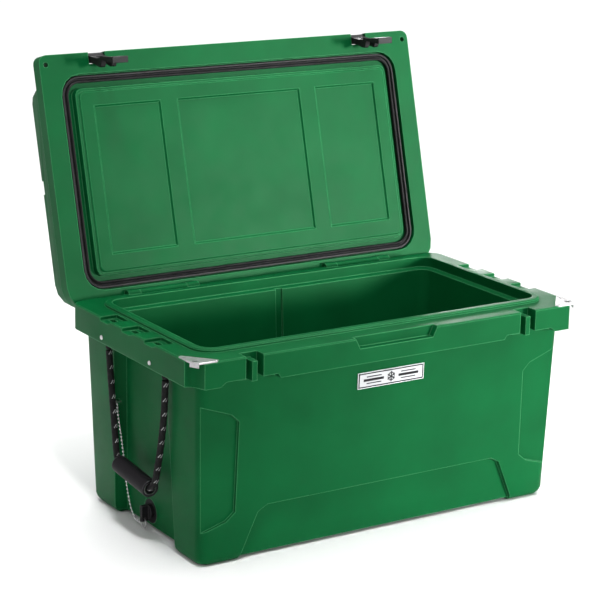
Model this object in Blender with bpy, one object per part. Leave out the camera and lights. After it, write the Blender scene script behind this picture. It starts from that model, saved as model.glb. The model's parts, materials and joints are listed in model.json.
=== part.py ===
"""Insulated cooler chest: a rotomoulded double-walled base and lid on two hinge pins.

The chest is drawn in its own frame: X along its length, the front towards -Y, the floor at Z 0 and
Y 0 half-way through the rim. Lid pieces are drawn as if the lid were closed and hang from an empty on
the hinge axis that holds the lid open. One empty moves the whole chest so that the scene's origin lies
on the floor at the centre of everything as it rests.
"""

from math import acos, cos, pi, radians, sin

import bmesh
import bpy
from mathutils import Matrix, Vector

# ---- driving dimensions, metres -------------------------------------------------------------------

GAP = 0.0003

RIM_HALF_X = 0.390
RIM_HALF_Y = 0.2165
RIM_TOP = 0.3615
RIM_BOTTOM = 0.3157
FRONT_RADIUS = 0.014
RIM_REAR_RADIUS = 0.022
LID_REAR_RADIUS = 0.045
BASE_HALF_X = 0.3590
BASE_TOP_HALF_X = 0.3670
BASE_FRONT = 0.1855
BASE_TOP_FRONT = 0.1950
BASE_REAR = 0.1965
BASE_TOP_REAR = 0.2100
BASE_RADIUS = 0.018

MOUTH_HALF_X = 0.341
MOUTH_FRONT = -0.164
MOUTH_BACK = 0.174
MOUTH_RADIUS = 0.026
BEAD_WIDTH = 0.012
BEAD_TOP = 0.3675
LEDGE_Z = 0.3490
LEDGE_WIDTH = 0.009
TUB_FLOOR_Z = 0.040
TUB_DRAFT = 0.018
TUB_RADIUS = 0.020
SKIN = 0.005
DIVIDER_X = 0.005
DIVIDER_HALF = 0.0070
DIVIDER_DEPTH = 0.0036

SIDE_RECESS_DEPTH = 0.020
SIDE_RECESS_FRONT = 0.1045
SIDE_RECESS_TOP_FRONT = 0.0840
SIDE_RECESS_REAR = 0.1125
SIDE_RECESS_TOP_REAR = 0.1000
FRONT_RECESS_DEPTH = 0.006
CORNER_RECESS_TOP = 0.267
CORNER_RECESS_BASE = 0.070
CORNER_RECESS_EDGE = 0.291
PLINTH_HALF_BASE = 0.2866
PLINTH_HALF_TOP = 0.240
PLINTH_TOP = 0.091
PLINTH_DEPTH = 0.008
FOOT_HEIGHT = 0.006
FOOT_INNER_X = 0.283

LATCH_X = 0.2775
LATCH_SLOT_WIDTH = 0.033
LATCH_SLOT_DEPTH = 0.0225
KEEPER_WIDTH = 0.0095
KEEPER_TOP = 0.352
KEEPER_BOTTOM = 0.3185
LATCH_RELIEF_INNER = 0.2260
LATCH_RELIEF_OUTER = 0.3440
LATCH_RELIEF_HEIGHT = 0.0085

FINGER_TOP_HALF = 0.086
FINGER_BASE_HALF = 0.074
FINGER_BOTTOM = 0.3435
FINGER_DEPTH = 0.012

TIE_NOTCH_PITCH = 0.0785
TIE_NOTCH_FLAT = 0.026
TIE_NOTCH_RAMP = 0.046
TIE_NOTCH_DEPTH = 0.0065
TIE_NOTCH_X = 0.358
TIE_SLOT_X = 0.371
TIE_SLOT_SETBACK = 0.012
TIE_SLOT_HALF = (0.0048, 0.0085)
TIE_SLOT_DEPTH = 0.016

LOCK_CHANNEL_X = 0.020
LOCK_CHANNEL_Y = 0.030
LOCK_X = 0.3775
LOCK_Y = -0.1995
LOCK_HOLE_RADIUS = 0.0046
LOCK_SCREW_RADIUS = 0.0016
PLATE_THICK = 0.0020
PLATE_TOP = 0.3620
PLATE_LIP = 0.0080

HINGE_Y = 0.2163
HINGE_Z = 0.3580
HINGE_X = 0.208
KNUCKLE_RADIUS = 0.0095
KNUCKLE_WIDTH = 0.094
EAR_RADIUS = 0.0100
EAR_WIDTH = 0.024
PIN_RADIUS = 0.0030
PIN_BORE_RADIUS = 0.0033
LID_OPEN = radians(105.0)

LID_BOTTOM = 0.3635
LID_REAR = 0.2335
LID_FLANGE_TOP = 0.391
LID_DOME_FRONT = -0.180
LID_TOP = 0.4260
LID_CROWN_SETBACK = 0.030
LID_CROWN_RADIUS = 0.03
LID_GROOVE_HALF_X = 0.354
LID_GROOVE_FRONT = -0.1795
LID_GROOVE_BACK = 0.2010
LID_GROOVE_WIDTH = 0.029
LID_GROOVE_DEPTH = 0.0120
LID_GROOVE_RADIUS = 0.038
PLUG_PROUD = 0.0040
LID_PLUG_Y = 0.1450
PANEL_DEPTH = 0.0040
PANEL_SLOPE = 0.004

GASKET_WIDTH = 0.0135

LATCH_WIDTH = 0.030
LATCH_PIVOT_Y = -0.2068
LATCH_PIVOT_Z = 0.3745
LATCH_BARREL_RADIUS = 0.0090
LATCH_PIN_RADIUS = 0.0025
LATCH_PIN_BORE = 0.0028
LATCH_SAG = radians(15.0)
LATCH_NOTCH_WIDTH = 0.033
LATCH_NOTCH_DEPTH = 0.0205

ROPE_RADIUS = 0.0060
ROPE_X = 0.376
ROPE_SPREAD = 0.099
ROPE_PIVOT_Z = 0.3085
ROPE_POCKET = 0.0085
ROPE_POCKET_TOP = 0.3450
ROPE_PIN_Z = 0.3267
ROPE_PIN_REAR = 0.099
ROPE_PIN_FRONT = -0.071
ROPE_PIN_RADIUS = 0.0025
ROPE_PIN_BORE = 0.0028
GRIP_RADIUS = 0.0153
GRIP_BORE = 0.0118
GRIP_SLEEVE_RADIUS = 0.0115
GRIP_SLEEVE_BORE = 0.0100
GRIP_LENGTH = 0.1105
GRIP_Y = 0.0066
GRIP_Z = 0.104
GRIP_TILT = radians(5.2)
ROPE_BEND_FRONT = 0.034
ROPE_BEND_REAR = 0.024
ROPE_LIFT = 0.0029

DRAIN_Y = 0.0175
DRAIN_Z = 0.0310
DRAIN_SEAT_X = 0.3365
DRAIN_SEAT_RADIUS = 0.0222
DRAIN_FLANGE_RADIUS = 0.0214
DRAIN_FLANGE_THICK = 0.0030
DRAIN_TUBE_RADIUS = 0.0145
DRAIN_BORE_RADIUS = 0.0090
DRAIN_THREAD_RADIUS = 0.0085
DRAIN_PLUG_RADIUS = 0.0130
DRAIN_RING_RADIUS = 0.0085
DRAIN_RING_WIRE = 0.0009
CHAIN_RADIUS = 0.0016
CHAIN_SCREW_Y = 0.100
CHAIN_SCREW_Z = 0.207
CHAIN_SCREW_RADIUS = 0.0015
CHAIN_WALL_X = 0.3563
CHAIN_STOPS = (
    (-0.3599, 0.1000, 0.2035),
    (-0.3592, 0.0985, 0.1850),
    (-0.3555, 0.0955, 0.1500),
    (-0.3537, 0.0890, 0.1130),
    (-0.3532, 0.0797, 0.0660),
    (-0.3530, 0.0660, 0.0290),
    (-0.3530, 0.0520, 0.0120),
    (-0.3530, 0.0400, 0.0078),
    (-0.3530, 0.0276, 0.0100),
)

BADGE_X = 0.0675
BADGE_CENTRE_X = 0.0046
BADGE_CENTRE_Z = 0.2791
BADGE_HALF_Z = 0.0140
BADGE_THICK = 0.0016

# The open lid's dome is the rearmost point and the rim's front face the foremost one at rest.
LID_REACH_Y = HINGE_Y - LID_DOME_FRONT - LID_CROWN_SETBACK
LID_REACH_Z = LID_TOP - HINGE_Z
REST_REAR = HINGE_Y - LID_REACH_Y * cos(LID_OPEN) + LID_REACH_Z * sin(LID_OPEN)
REST_CENTRE_Y = (REST_REAR - RIM_HALF_Y) / 2

GREEN = (0.018, 0.125, 0.047, 1.0)
BLACK = (0.012, 0.012, 0.013, 1.0)
FOAM = (0.80, 0.72, 0.45, 1.0)
STEEL = (0.72, 0.72, 0.73, 1.0)
NYLON = (0.03, 0.03, 0.03, 1.0)
WHITE = (0.83, 0.84, 0.84, 1.0)


# ---- helpers --------------------------------------------------------------------------------------

def clear_scene():
    for obj in list(bpy.data.objects):
        bpy.data.objects.remove(obj)


def make_collection(name):
    collection = bpy.data.collections.new(name)
    bpy.context.scene.collection.children.link(collection)
    return collection


def make_material(name, colour, roughness, metallic=0.0):
    material = bpy.data.materials.new(name)
    material.use_nodes = True
    shader = material.node_tree.nodes["Principled BSDF"]
    shader.inputs["Base Color"].default_value = colour
    shader.inputs["Roughness"].default_value = roughness
    shader.inputs["Metallic"].default_value = metallic
    return material


def solid(name, bm):
    """A new object from a bmesh, in the cutters' collection until it is named a part."""
    bmesh.ops.recalc_face_normals(bm, faces=bm.faces)
    mesh = bpy.data.meshes.new(name)
    bm.to_mesh(mesh)
    bm.free()
    obj = bpy.data.objects.new(name, mesh)
    cutters.objects.link(obj)
    obj.hide_render = True
    obj.display_type = "WIRE"
    return obj


def box(name, low, high):
    bm = bmesh.new()
    bmesh.ops.create_cube(bm, size=1.0)
    size = Vector(high) - Vector(low)
    centre = (Vector(high) + Vector(low)) / 2
    bmesh.ops.scale(bm, vec=size, verts=bm.verts)
    bmesh.ops.translate(bm, vec=centre, verts=bm.verts)
    return solid(name, bm)


def cylinder(name, start, end, radius, segments=24, end_radius=None):
    """A round bar, or a cone where its two radii differ, between two points."""
    start = Vector(start)
    end = Vector(end)
    bm = bmesh.new()
    turn = Vector((0, 0, 1)).rotation_difference(end - start).to_matrix().to_4x4()
    matrix = Matrix.Translation((start + end) / 2) @ turn
    far_radius = radius if end_radius is None else end_radius
    bmesh.ops.create_cone(bm, cap_ends=True, segments=segments, radius1=radius, radius2=far_radius,
                          depth=(end - start).length, matrix=matrix)
    return solid(name, bm)


def ball(name, centre, radius):
    bm = bmesh.new()
    bmesh.ops.create_uvsphere(bm, u_segments=12, v_segments=8, radius=radius,
                              matrix=Matrix.Translation(centre))
    return solid(name, bm)


def rounded_outline(half_x, front, back, front_radius, back_radius, steps=4):
    """Counter-clockwise plan outline of a rectangle with its own front and back corner radii."""
    corners = (
        (half_x, back, back_radius, 0.0),
        (-half_x, back, back_radius, pi / 2),
        (-half_x, front, front_radius, pi),
        (half_x, front, front_radius, 3 * pi / 2),
    )
    points = []
    for x, y, radius, start in corners:
        centre_x = x - radius if x > 0 else x + radius
        centre_y = y - radius if y == back else y + radius
        for step in range(steps + 1):
            angle = start + step * pi / 2 / steps
            points.append((centre_x + radius * cos(angle), centre_y + radius * sin(angle)))
    return points


def loft(name, levels):
    """A closed solid through plan outlines of equal length, each given with its height."""
    bm = bmesh.new()
    rings = [[bm.verts.new((x, y, z)) for x, y in outline] for z, outline in levels]
    count = len(rings[0])
    for lower, upper in zip(rings, rings[1:]):
        for i in range(count):
            j = (i + 1) % count
            bm.faces.new((lower[i], lower[j], upper[j], upper[i]))
    bm.faces.new(rings[0][::-1])
    bm.faces.new(rings[-1])
    return solid(name, bm)


def plate(name, outline, thickness, matrix):
    """A flat outline given thickness about its own plane, then placed by a matrix."""
    curve = bpy.data.curves.new(name, "CURVE")
    curve.dimensions = "2D"
    curve.fill_mode = "BOTH"
    curve.extrude = thickness / 2
    spline = curve.splines.new("POLY")
    spline.points.add(len(outline) - 1)
    for point, (u, v) in zip(spline.points, outline):
        point.co = (u, v, 0.0, 1.0)
    spline.use_cyclic_u = True
    return curve_solid(name, curve, matrix)


def tube(name, points, radius, resolution=2):
    """A round wire or rope along points, with flat ends."""
    curve = bpy.data.curves.new(name, "CURVE")
    curve.dimensions = "3D"
    curve.bevel_depth = radius
    curve.bevel_resolution = resolution
    curve.use_fill_caps = True
    spline = curve.splines.new("POLY")
    spline.points.add(len(points) - 1)
    for point, place in zip(spline.points, points):
        point.co = (*place, 1.0)
    return curve_solid(name, curve, Matrix.Identity(4))


def curve_solid(name, curve, matrix):
    holder = bpy.data.objects.new(name + "_curve", curve)
    cutters.objects.link(holder)
    holder.matrix_world = matrix
    bpy.context.view_layer.update()
    evaluated = holder.evaluated_get(bpy.context.evaluated_depsgraph_get())
    mesh = bpy.data.meshes.new_from_object(evaluated)
    bm = bmesh.new()
    bm.from_mesh(mesh)
    bmesh.ops.remove_doubles(bm, verts=bm.verts, dist=0.00001)
    bmesh.ops.transform(bm, matrix=matrix, verts=bm.verts)
    bpy.data.objects.remove(holder)
    bpy.data.meshes.remove(mesh)
    return solid(name, bm)


def ring(name, centre, axis, inner, outer, length, segments=32):
    """A short tube with its middle at centre."""
    half = Vector(axis).normalized() * length / 2
    centre = Vector(centre)
    body = cylinder(name, centre - half, centre + half, outer, segments)
    cut(body, cylinder(name + "_bore", centre - half * 2, centre + half * 2, inner, segments))
    return body


def cut(target, tool):
    modifier = target.modifiers.new("cut_" + tool.name, "BOOLEAN")
    modifier.operation = "DIFFERENCE"
    modifier.object = tool


def join(target, tool):
    modifier = target.modifiers.new("join_" + tool.name, "BOOLEAN")
    modifier.operation = "UNION"
    modifier.object = tool


def part(obj, name, material, parent, pivot=(0.0, 0.0, 0.0), smooth=False):
    """Names a solid as one of the chest's pieces and hangs it from the empty at its pivot."""
    cutters.objects.unlink(obj)
    parts.objects.link(obj)
    obj.name = name
    obj.hide_render = False
    obj.display_type = "TEXTURED"
    obj.data.materials.append(material)
    obj.parent = parent
    obj.location = -Vector(pivot)
    for modifier in obj.modifiers:
        hang_tool(modifier.object, parent, pivot)
    if smooth:
        obj.data.shade_smooth()
        obj.data.set_sharp_from_angle(angle=radians(35))
    return obj


def hang_tool(tool, parent, pivot):
    """A cutter moves with the piece it shapes, and so do the tools that shape the cutter."""
    tool.parent = parent
    tool.location = -Vector(pivot)
    for modifier in tool.modifiers:
        hang_tool(modifier.object, parent, pivot)


def empty(name, location, parent=None, turn_x=0.0):
    obj = bpy.data.objects.new(name, None)
    parts.objects.link(obj)
    obj.parent = parent
    obj.location = location
    obj.rotation_euler = (turn_x, 0.0, 0.0)
    return obj


def mirror_name(base, side):
    return base + ("_left" if side < 0 else "_right")


def rise(base, top, z):
    """A dimension of the base that changes evenly from the floor up to the rim."""
    return base + (top - base) * z / RIM_BOTTOM


def body_half_x(z):
    """Half-length of the base's outer wall at a height."""
    return rise(BASE_HALF_X, BASE_TOP_HALF_X, z)


YZ = Matrix(((0, 0, 1, 0), (1, 0, 0, 0), (0, 1, 0, 0), (0, 0, 0, 1)))
XZ = Matrix(((1, 0, 0, 0), (0, 0, 1, 0), (0, 1, 0, 0), (0, 0, 0, 1)))


# ---- base -----------------------------------------------------------------------------------------

def base_outline(z, inset=0.0, steps=4):
    front = rise(BASE_FRONT, BASE_TOP_FRONT, z) - inset
    rear = rise(BASE_REAR, BASE_TOP_REAR, z) - inset
    return rounded_outline(body_half_x(z) - inset, -front, rear, BASE_RADIUS, BASE_RADIUS, steps)


def base_block():
    rim = rounded_outline(RIM_HALF_X, -RIM_HALF_Y, RIM_HALF_Y, FRONT_RADIUS, RIM_REAR_RADIUS)
    rim_top = rounded_outline(RIM_HALF_X - 0.002, -RIM_HALF_Y + 0.002, RIM_HALF_Y - 0.002,
                              FRONT_RADIUS, RIM_REAR_RADIUS)
    return loft("base_block", [
        (0.0, base_outline(0.0, 0.0120)),
        (0.0030, base_outline(0.0030, 0.0055)),
        (0.0080, base_outline(0.0080, 0.0018)),
        (0.0150, base_outline(0.0150)),
        (RIM_BOTTOM, base_outline(RIM_BOTTOM)),
        (RIM_BOTTOM + 0.001, rim),
        (RIM_TOP - 0.002, rim),
        (RIM_TOP, rim_top),
    ])


def mouth_outline(grow, steps=4):
    radius = max(MOUTH_RADIUS + grow, TUB_RADIUS)
    return rounded_outline(MOUTH_HALF_X + grow, MOUTH_FRONT - grow, MOUTH_BACK + grow, radius, radius, steps)


def tub(name, grow, top):
    """The storage space, or the same shape grown by a skin's thickness."""
    floor = -TUB_DRAFT - LEDGE_WIDTH + grow
    return loft(name, [
        (TUB_FLOOR_Z - grow, mouth_outline(floor - 0.012)),
        (TUB_FLOOR_Z - grow + 0.012, mouth_outline(floor)),
        (LEDGE_Z - 0.003, mouth_outline(grow - LEDGE_WIDTH)),
        (LEDGE_Z, mouth_outline(grow)),
        (top, mouth_outline(grow)),
    ])


def side_recess(side, grow=0.0):
    """The tall panel in an end wall that the handle hangs in."""
    face = SIDE_RECESS_DEPTH + grow
    rows = []
    for z in (-0.01, RIM_BOTTOM - 0.002):
        floor_x = body_half_x(z) - face
        front = -rise(SIDE_RECESS_FRONT, SIDE_RECESS_TOP_FRONT, z) - grow
        rear = rise(SIDE_RECESS_REAR, SIDE_RECESS_TOP_REAR, z) + grow
        rows.append((z, [
            (side * floor_x, front + 0.010),
            (side * (floor_x + face + 0.002), front),
            (side * 0.42, front),
            (side * 0.42, rear),
            (side * (floor_x + face + 0.002), rear),
            (side * floor_x, rear - 0.010),
        ]))
    return loft(mirror_name("side_recess", side), rows)


def front_slope():
    """Leans a flat piece in step with the front wall."""
    tilt = Matrix.Identity(4)
    tilt[1][2] = -(BASE_TOP_FRONT - BASE_FRONT) / RIM_BOTTOM
    return tilt


def front_panel(name, outline, depth):
    """A shallow pocket in the front wall that follows the wall's slope."""
    base = Matrix.Translation((0.0, -BASE_FRONT + depth - 0.02, 0.0))
    return plate(name, outline, 0.04, front_slope() @ base @ XZ)


def corner_recess(side):
    """The recessed panel beside a front corner; it runs out past the corner."""
    edge = CORNER_RECESS_EDGE
    outline = [
        (0.42, CORNER_RECESS_BASE - 0.0275),
        (edge + 0.020, CORNER_RECESS_BASE + 0.004),
        (edge + 0.003, CORNER_RECESS_BASE + 0.018),
        (edge, CORNER_RECESS_TOP - 0.022),
        (edge + 0.014, CORNER_RECESS_TOP - 0.008),
        (0.42, CORNER_RECESS_TOP + 0.033),
    ]
    mirrored = [(side * x, z) for x, z in outline]
    return front_panel(mirror_name("corner_recess", side), mirrored, FRONT_RECESS_DEPTH)


def plinth_recess():
    """The wide low pocket in the front wall between the two front feet."""
    outline = [
        (-PLINTH_HALF_BASE - 0.008, -0.02),
        (-PLINTH_HALF_TOP - 0.010, PLINTH_TOP - 0.010),
        (-PLINTH_HALF_TOP + 0.008, PLINTH_TOP),
        (PLINTH_HALF_TOP - 0.008, PLINTH_TOP),
        (PLINTH_HALF_TOP + 0.010, PLINTH_TOP - 0.010),
        (PLINTH_HALF_BASE + 0.008, -0.02),
    ]
    return front_panel("plinth_recess", outline, PLINTH_DEPTH)


def foot_gaps():
    """Shallow channels across the underside that leave four corner feet."""
    lengthways = box("foot_gap_long", (-0.5, -SIDE_RECESS_FRONT, -0.02),
                     (0.5, SIDE_RECESS_REAR, FOOT_HEIGHT))
    crossways = box("foot_gap_cross", (-FOOT_INNER_X, -0.3, -0.02), (FOOT_INNER_X, 0.3, FOOT_HEIGHT))
    return lengthways, crossways


def latch_slot(side):
    half = LATCH_SLOT_WIDTH / 2
    x = side * LATCH_X
    low = (x - half, -RIM_HALF_Y - 0.01, RIM_BOTTOM + 0.0005)
    high = (x + half, -RIM_HALF_Y + LATCH_SLOT_DEPTH, RIM_TOP + 0.01)
    return box(mirror_name("latch_slot", side), low, high)


def keeper(side):
    """The upright rib in a latch slot that the rubber latch hooks over."""
    half = KEEPER_WIDTH / 2
    x = side * LATCH_X
    low = (x - half, -RIM_HALF_Y, KEEPER_BOTTOM)
    high = (x + half, -RIM_HALF_Y + LATCH_SLOT_DEPTH + 0.004, KEEPER_TOP)
    return box(mirror_name("keeper", side), low, high)


def latch_relief(side):
    """Lifts the rim's lower edge beside a latch, with an S-shaped step at each end."""
    low = RIM_BOTTOM - 0.004
    outline = []
    slopes = ((LATCH_RELIEF_INNER, 0.0078, False), (LATCH_RELIEF_OUTER - 0.0165, 0.0165, True))
    for start, run, falls in slopes:
        for step in range(7):
            t = step / 6
            height = LATCH_RELIEF_HEIGHT * (0.5 - 0.5 * cos(pi * t))
            if falls:
                height = LATCH_RELIEF_HEIGHT - height
            outline.append((side * (start + run * t), RIM_BOTTOM + height))
    outline.append((side * LATCH_RELIEF_OUTER, low))
    outline.append((side * LATCH_RELIEF_INNER, low))
    place = Matrix.Translation((0.0, -BASE_TOP_FRONT - 0.025, 0.0))
    return plate(mirror_name("latch_relief", side), outline, 0.05, place @ XZ)


def finger_recess():
    outline = [
        (-FINGER_TOP_HALF, RIM_TOP + 0.006),
        (-FINGER_BASE_HALF, FINGER_BOTTOM),
        (FINGER_BASE_HALF, FINGER_BOTTOM),
        (FINGER_TOP_HALF, RIM_TOP + 0.006),
    ]
    place = Matrix.Translation((0.0, -RIM_HALF_Y, 0.0))
    return plate("finger_recess", outline, 2 * FINGER_DEPTH, place @ XZ)


def tie_notches(side):
    """Three ramped notches in an end of the rim for tie-down straps."""
    notches = []
    for index in range(3):
        rear = TIE_NOTCH_PITCH * (1.5 - index) - 0.013
        outline = [
            (rear, RIM_TOP + 0.01),
            (rear, RIM_TOP - TIE_NOTCH_DEPTH),
            (rear - TIE_NOTCH_FLAT, RIM_TOP - TIE_NOTCH_DEPTH),
            (rear - TIE_NOTCH_RAMP, RIM_TOP + 0.001),
            (rear - TIE_NOTCH_RAMP, RIM_TOP + 0.01),
        ]
        centre = side * (TIE_NOTCH_X + 0.025)
        place = Matrix.Translation((centre, 0.0, 0.0))
        name = mirror_name("tie_notch_" + str(index + 1), side)
        notches.append(plate(name, outline, 0.05, place @ YZ))
        slot = (side * TIE_SLOT_X, rear - TIE_SLOT_SETBACK, RIM_TOP - TIE_NOTCH_DEPTH)
        half_x, half_y = TIE_SLOT_HALF
        notches.append(box(name + "_slot", (slot[0] - half_x, slot[1] - half_y, slot[2] - TIE_SLOT_DEPTH),
                           (slot[0] + half_x, slot[1] + half_y, slot[2] + 0.01)))
    return notches


def lock_channel(side):
    """The upright oval groove cut out of a front corner of the rim for a padlock."""
    bm = bmesh.new()
    bmesh.ops.create_cone(bm, cap_ends=True, segments=24, radius1=1.0, radius2=1.0, depth=1.0)
    bmesh.ops.scale(bm, vec=(LOCK_CHANNEL_X, LOCK_CHANNEL_Y, 0.10), verts=bm.verts)
    place = (side * RIM_HALF_X, -RIM_HALF_Y, RIM_BOTTOM + 0.025)
    bmesh.ops.translate(bm, vec=place, verts=bm.verts)
    return solid(mirror_name("lock_channel", side), bm)


def corner_plate_outline(side, grow=0.0):
    """Plan of the steel plate on a front corner: a triangle with blunt tips and a cut corner."""
    points = (
        (0.3885 + grow, -0.1650),
        (0.3885 + grow, -0.1985 - grow),
        (0.3795 + grow, -0.2155 - grow),
        (0.3460, -0.2155 - grow),
        (0.3410 - grow, -0.2110 + grow),
        (0.3830, -0.1620 + grow),
    )
    return [(side * x, y) for x, y in points]


def flat_plate(name, outline, low, high):
    """A plan outline given thickness between two heights."""
    return plate(name, outline, high - low, Matrix.Translation((0.0, 0.0, (low + high) / 2)))


def screw_places(side):
    return ((side * 0.3835, -0.1745), (side * 0.3520, -0.2110))


def rope_pocket(side, exit_y, pin_y):
    low_y = min(exit_y, pin_y) - ROPE_POCKET
    high_y = max(exit_y, pin_y) + ROPE_POCKET
    x = side * ROPE_X
    name = mirror_name("rope_pocket", side)
    return box(name, (x - ROPE_POCKET, low_y, 0.30), (x + ROPE_POCKET, high_y, ROPE_POCKET_TOP))


def hinge_ear(x):
    half = EAR_WIDTH / 2
    return cylinder("hinge_ear", (x - half, HINGE_Y, HINGE_Z), (x + half, HINGE_Y, HINGE_Z), EAR_RADIUS, 24)


def ear_places(side):
    offset = KNUCKLE_WIDTH / 2 + 0.0005 + EAR_WIDTH / 2
    return (side * HINGE_X - offset, side * HINGE_X + offset)


def knuckle_pocket(side):
    """Room in the rim's back edge for the lid's knuckle to turn."""
    half = KNUCKLE_WIDTH / 2 + 0.0005
    x = side * HINGE_X
    reach = KNUCKLE_RADIUS + 0.0012
    low = (x - half, HINGE_Y - reach, HINGE_Z - reach)
    return box(mirror_name("knuckle_pocket", side), low, (x + half, HINGE_Y + 0.02, HINGE_Z + 0.03))


def foam_space(name, inset, grow):
    """The sealed space between the base's outer and inner skins."""
    space = loft(name, [
        (FOOT_HEIGHT + inset, base_outline(FOOT_HEIGHT + inset, inset + PLINTH_DEPTH, 3)),
        (0.310 - inset, base_outline(0.310, inset + PLINTH_DEPTH, 3)),
    ])
    cut(space, tub(name + "_tub", grow, 0.40))
    for side in (-1, 1):
        cut(space, side_recess(side, grow))
    cut(space, cylinder(name + "_drain", (-0.40, DRAIN_Y, DRAIN_Z), (-0.24, DRAIN_Y, DRAIN_Z),
                        DRAIN_SEAT_RADIUS + grow, 24))
    return space


def make_body(root, green):
    body = base_block()
    bead = loft("bead", [
        (RIM_TOP - 0.010, rounded_outline(MOUTH_HALF_X + BEAD_WIDTH, MOUTH_FRONT - BEAD_WIDTH,
                                          MOUTH_BACK + BEAD_WIDTH + 0.002, 0.038, 0.038)),
        (BEAD_TOP - 0.002, rounded_outline(MOUTH_HALF_X + BEAD_WIDTH, MOUTH_FRONT - BEAD_WIDTH,
                                           MOUTH_BACK + BEAD_WIDTH + 0.002, 0.038, 0.038)),
        (BEAD_TOP, rounded_outline(MOUTH_HALF_X + BEAD_WIDTH - 0.003, MOUTH_FRONT - BEAD_WIDTH + 0.003,
                                   MOUTH_BACK + BEAD_WIDTH - 0.001, 0.035, 0.035)),
    ])
    join(body, bead)
    cut(body, tub("tub", 0.0, 0.40))
    cut(body, foam_space("foam_space", SKIN, SKIN))
    cut(body, plinth_recess())
    for gap in foot_gaps():
        cut(body, gap)
    for side in (-1, 1):
        cut(body, side_recess(side))
        cut(body, corner_recess(side))
        cut(body, latch_relief(side))
        cut(body, latch_slot(side))
        join(body, keeper(side))
        cut(body, lock_channel(side))
        cut(body, flat_plate(mirror_name("plate_seat", side), corner_plate_outline(side, 0.0006),
                             PLATE_TOP - PLATE_THICK - GAP, RIM_TOP + 0.01))
        for x, y in screw_places(side):
            cut(body, cylinder("plate_screw_hole", (x, y, 0.345), (x, y, 0.37), LOCK_SCREW_RADIUS + GAP, 8))
        for notch in tie_notches(side):
            cut(body, notch)
        for exit_y, pin_y in ((ROPE_SPREAD, ROPE_PIN_REAR), (-ROPE_SPREAD, ROPE_PIN_FRONT)):
            cut(body, rope_pocket(side, exit_y, pin_y))
            cut(body, cylinder("rope_pin_bore", (side * 0.352, pin_y, ROPE_PIN_Z),
                               (side * 0.40, pin_y, ROPE_PIN_Z), ROPE_PIN_BORE, 12))
        for x in ear_places(side):
            join(body, hinge_ear(x))
        cut(body, knuckle_pocket(side))
        outer = ear_places(side)
        cut(body, cylinder("hinge_bore", (outer[0] - 0.02, HINGE_Y, HINGE_Z),
                           (outer[1] + 0.02, HINGE_Y, HINGE_Z), PIN_BORE_RADIUS, 16))
    cut(body, finger_recess())
    for slot in divider_slots():
        cut(body, slot)
    cut(body, cylinder("drain_seat", (-0.40, DRAIN_Y, DRAIN_Z), (-DRAIN_SEAT_X, DRAIN_Y, DRAIN_Z),
                       DRAIN_SEAT_RADIUS, 32))
    cut(body, cylinder("drain_hole", (-0.36, DRAIN_Y, DRAIN_Z), (-0.285, DRAIN_Y, DRAIN_Z),
                       DRAIN_TUBE_RADIUS + GAP, 32))
    cut(body, cylinder("chain_screw_hole", (-CHAIN_WALL_X + 0.0044, CHAIN_SCREW_Y, CHAIN_SCREW_Z),
                       (-0.39, CHAIN_SCREW_Y, CHAIN_SCREW_Z), CHAIN_SCREW_RADIUS + GAP, 12))
    cut(body, cylinder("chain_screw_seat", (-CHAIN_WALL_X, CHAIN_SCREW_Y, CHAIN_SCREW_Z),
                       (-0.38, CHAIN_SCREW_Y, CHAIN_SCREW_Z), 0.0055, 24))
    cut(body, box("drain_channel", (-0.302, DRAIN_Y - 0.012, 0.022), (-0.240, DRAIN_Y + 0.012, 0.060)))
    cut(body, cylinder("fill_hole", (0.0, 0.0, -0.02), (0.0, 0.0, FOOT_HEIGHT + 0.008), 0.012, 24))
    return part(body, "body_shell", green, root)


def divider_slots():
    """Upright grooves in the tub's front and back walls where a divider board slides in."""
    rows = ((0.055, TUB_DRAFT), (LEDGE_Z - 0.003, 0.0), (LEDGE_Z + 0.002, 0.0))
    slots = []
    for wall, inward in ((MOUTH_FRONT + LEDGE_WIDTH, 1), (MOUTH_BACK - LEDGE_WIDTH, -1)):
        levels = []
        for z, draft in rows:
            near = wall + inward * (draft + 0.004)
            far = wall + inward * (draft - DIVIDER_DEPTH)
            low, high = sorted((near, far))
            levels.append((z, [(DIVIDER_X + DIVIDER_HALF, low), (DIVIDER_X + DIVIDER_HALF, high),
                               (DIVIDER_X - DIVIDER_HALF, high), (DIVIDER_X - DIVIDER_HALF, low)]))
        slots.append(loft("divider_slot", levels))
    return slots


def make_foam(root, foam):
    """The poured insulation, a simple block that clears the skins all round."""
    core = foam_space("foam", SKIN + GAP, SKIN + GAP)
    return part(core, "body_foam_core", foam, root)


def fill_plug(name, x, y, face, inward):
    """A round push-in plug with a wider head that closes a foam filling hole in a skin."""
    shank = cylinder(name, (x, y, face + inward * 0.0045), (x, y, face - inward * 0.0012), 0.0117, 24)
    join(shank, cylinder(name + "_head", (x, y, face - inward * GAP), (x, y, face - inward * 0.0018),
                         0.0150, 24))
    return shank


# ---- lid, drawn closed ----------------------------------------------------------------------------

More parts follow.
